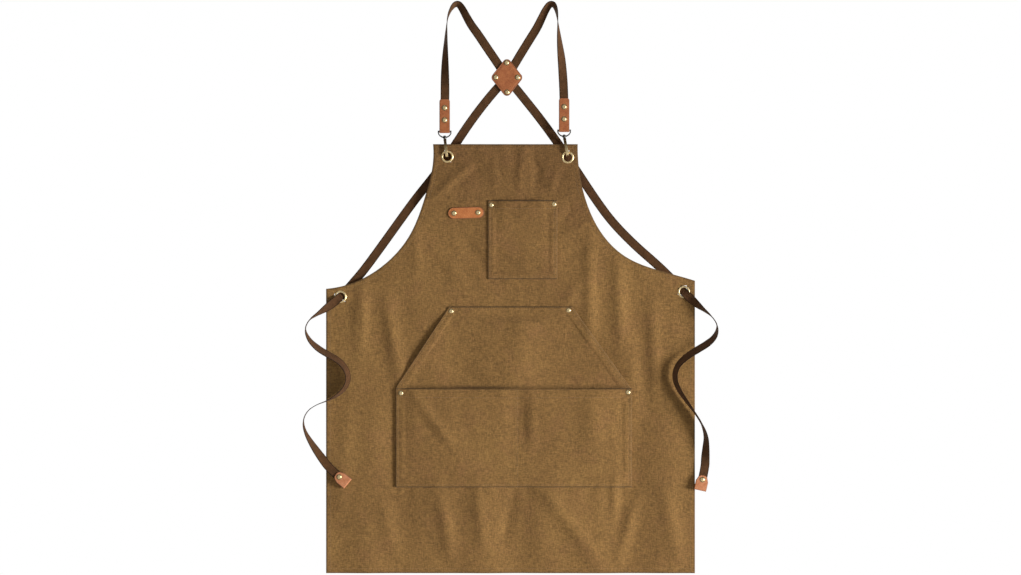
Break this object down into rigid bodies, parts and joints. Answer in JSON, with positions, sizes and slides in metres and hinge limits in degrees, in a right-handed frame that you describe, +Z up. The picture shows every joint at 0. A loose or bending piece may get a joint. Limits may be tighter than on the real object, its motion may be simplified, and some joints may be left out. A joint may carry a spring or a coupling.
{
  "type": "cross_back_work_apron",
  "caption": "Khaki-brown canvas cross-back work apron with webbing straps on brass swivel snap hooks, riveted leather tabs and patch, chest, hand-warmer and tool pockets and long side ties.",
  "frame": {"origin": "midpoint between the two shoulder-strap loops, at the height of their tops, which a hanger's shoulders or two pegs carry", "axes": "+X to the right seen from the front, -Y out of the front face, +Z up"},
  "size_m": [0.7719, 0.0381, 1.0636],
  "materials": {
    "canvas": "washed khaki-brown cotton canvas",
    "webbing": "dark brown cotton webbing",
    "leather": "veg-tan leather, burnished edges",
    "grommet_brass": "pale antique brass",
    "rivet_brass": "polished brass",
    "snap_brass": "antique brass",
    "gunmetal": "gunmetal",
    "spring_steel": "bright steel"
  },
  "bodies": {
    "apron": {"apron_body": "canvas", "bib_left_grommet": "grommet_brass", "bib_left_washer": "grommet_brass", "bib_right_grommet": "grommet_brass", "bib_right_washer": "grommet_brass", "chest_pocket": "canvas", "chest_pocket_rivet_left": "rivet_brass", "chest_pocket_rivet_right": "rivet_brass", "cross_patch_back": "leather", "cross_patch_front": "leather", "cross_patch_rivet_bottom": "rivet_brass", "cross_patch_rivet_left": "rivet_brass", "cross_patch_rivet_right": "rivet_brass", "cross_patch_rivet_top": "rivet_brass", "hand_warmer_panel": "canvas", "hand_warmer_rivet_left": "rivet_brass", "hand_warmer_rivet_right": "rivet_brass", "hem_facing": "canvas", "left_shoulder_strap": "webbing", "left_tie": "webbing", "left_tie_tip": "leather", "left_tie_tip_rivet": "rivet_brass", "lower_pocket": "canvas", "lower_pocket_rivet_left": "rivet_brass", "lower_pocket_rivet_right": "rivet_brass", "name_badge": "leather", "name_badge_rivet_left": "rivet_brass", "name_badge_rivet_right": "rivet_brass", "right_shoulder_strap": "webbing", "right_tie": "webbing", "right_tie_tip": "leather", "right_tie_tip_rivet": "rivet_brass", "waist_left_grommet": "grommet_brass", "waist_left_washer": "grommet_brass", "waist_right_grommet": "grommet_brass", "waist_right_washer": "grommet_brass"},
    "left_tab": {"left_leather_tab": "leather", "left_strap_end": "webbing", "left_tab_rivet_lower": "rivet_brass", "left_tab_rivet_upper": "rivet_brass"},
    "left_ring": {"left_swivel_ring": "gunmetal"},
    "left_hook": {"left_gate_pin": "spring_steel", "left_snap_hook": "snap_brass", "left_swivel_post": "snap_brass"},
    "left_gate": {"left_gate": "snap_brass", "left_gate_spring": "spring_steel"},
    "right_tab": {"right_leather_tab": "leather", "right_strap_end": "webbing", "right_tab_rivet_lower": "rivet_brass", "right_tab_rivet_upper": "rivet_brass"},
    "right_ring": {"right_swivel_ring": "gunmetal"},
    "right_hook": {"right_gate_pin": "spring_steel", "right_snap_hook": "snap_brass", "right_swivel_post": "snap_brass"},
    "right_gate": {"right_gate": "snap_brass", "right_gate_spring": "spring_steel"}
  },
  "joints": [
    {"name": "left_strap_swing", "type": "hinge", "parent": "apron", "child": "left_tab", "pos_m": [-0.1184, 0.001, -0.2867], "axis": [0, 1, 0], "range_deg": [-10, 10], "stiffness_Nm_per_rad": 0.02},
    {"name": "left_ring_tilt", "type": "hinge", "parent": "left_tab", "child": "left_ring", "pos_m": [-0.1225, 0.001, -0.24], "axis": [1, 0, 0], "range_deg": [-1.5, 1]},
    {"name": "left_hook_swivel", "type": "hinge", "parent": "left_ring", "child": "left_hook", "pos_m": [-0.1225, 0.001, -0.2515], "axis": [-0.1157, 0, 0.9933], "range_deg": [-15, 15]},
    {"name": "left_gate_open", "type": "hinge", "parent": "left_hook", "child": "left_gate", "pos_m": [-0.12072, 0.0069, -0.2668], "axis": [0.9933, 0, 0.1157], "range_deg": [-11, 0], "stiffness_Nm_per_rad": 0.01},
    {"name": "right_strap_swing", "type": "hinge", "parent": "apron", "child": "right_tab", "pos_m": [0.1063, 0.001, -0.285], "axis": [0, 1, 0], "range_deg": [-10, 10], "stiffness_Nm_per_rad": 0.02},
    {"name": "right_ring_tilt", "type": "hinge", "parent": "right_tab", "child": "right_ring", "pos_m": [0.0998, 0.001, -0.238], "axis": [1, 0, 0], "range_deg": [-1.5, 1]},
    {"name": "right_hook_swivel", "type": "hinge", "parent": "right_ring", "child": "right_hook", "pos_m": [0.0998, 0.001, -0.2495], "axis": [-0.1801, 0, 0.9836], "range_deg": [-15, 15]},
    {"name": "right_gate_open", "type": "hinge", "parent": "right_hook", "child": "right_gate", "pos_m": [0.10257, 0.0069, -0.26465], "axis": [0.9836, 0, 0.1801], "range_deg": [-11, 0], "stiffness_Nm_per_rad": 0.01}
  ]
}
